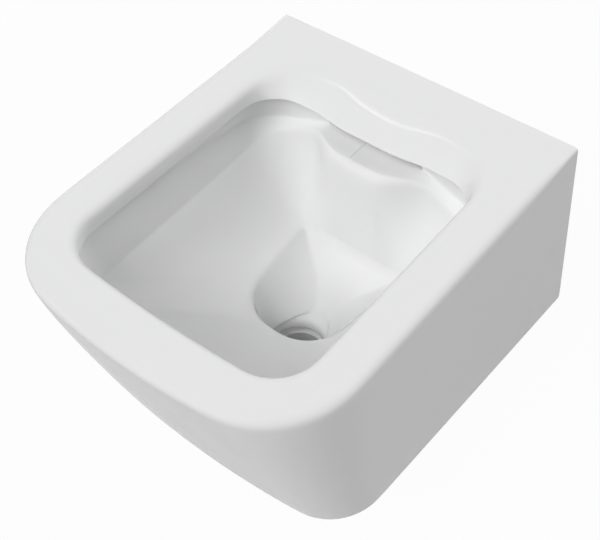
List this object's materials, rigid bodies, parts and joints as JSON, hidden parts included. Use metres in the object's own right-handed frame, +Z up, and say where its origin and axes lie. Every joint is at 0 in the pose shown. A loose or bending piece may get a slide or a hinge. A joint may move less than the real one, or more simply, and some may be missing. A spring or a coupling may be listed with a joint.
{
  "type": "wall hung toilet",
  "caption": "Short squarish wall-hung toilet pan with a rimless bowl, a flush distributor behind a curved apron, a horizontal outlet and hidden wall fixings reached from below.",
  "frame": {"origin": "midway between the two wall studs, on the plane of the finished wall", "axes": "+Z up, +Y into the wall, -Y towards the front of the pan, +X to the right as seen from the front; the floor is 320 mm below the origin"},
  "size_m": [0.367, 0.4305, 0.335],
  "materials": {
    "vitreous_china": "smooth high-gloss white glaze over sanitary china, raw and slightly rough on the wall face",
    "distributor_plastic": "smooth white moulded plastic",
    "regulator_plastic": "satin pale blue moulded plastic",
    "seal_rubber": "matte black rubber",
    "pad_rubber": "matte grey rubber",
    "sleeve_steel": "zinc-plated turned steel",
    "liner_plastic": "matte light grey moulded plastic",
    "bush_brass": "turned brass",
    "screw_steel": "dark hardened steel",
    "plug_plastic": "smooth white moulded plastic"
  },
  "bodies": {
    "root": {"pan": "vitreous_china", "flush_distributor": "distributor_plastic", "distributor_seal": "seal_rubber", "flow_regulator": "regulator_plastic", "inlet_seal": "seal_rubber", "fixing_sleeve_left": "sleeve_steel", "fixing_sleeve_right": "sleeve_steel", "sleeve_liner_left": "liner_plastic", "sleeve_liner_right": "liner_plastic", "screw_bush_left": "bush_brass", "screw_bush_right": "bush_brass", "lock_screw_left": "screw_steel", "lock_screw_right": "screw_steel", "wall_pad_left": "pad_rubber", "wall_pad_right": "pad_rubber", "access_plug_left": "plug_plastic", "access_plug_right": "plug_plastic"}
  },
  "joints": []
}
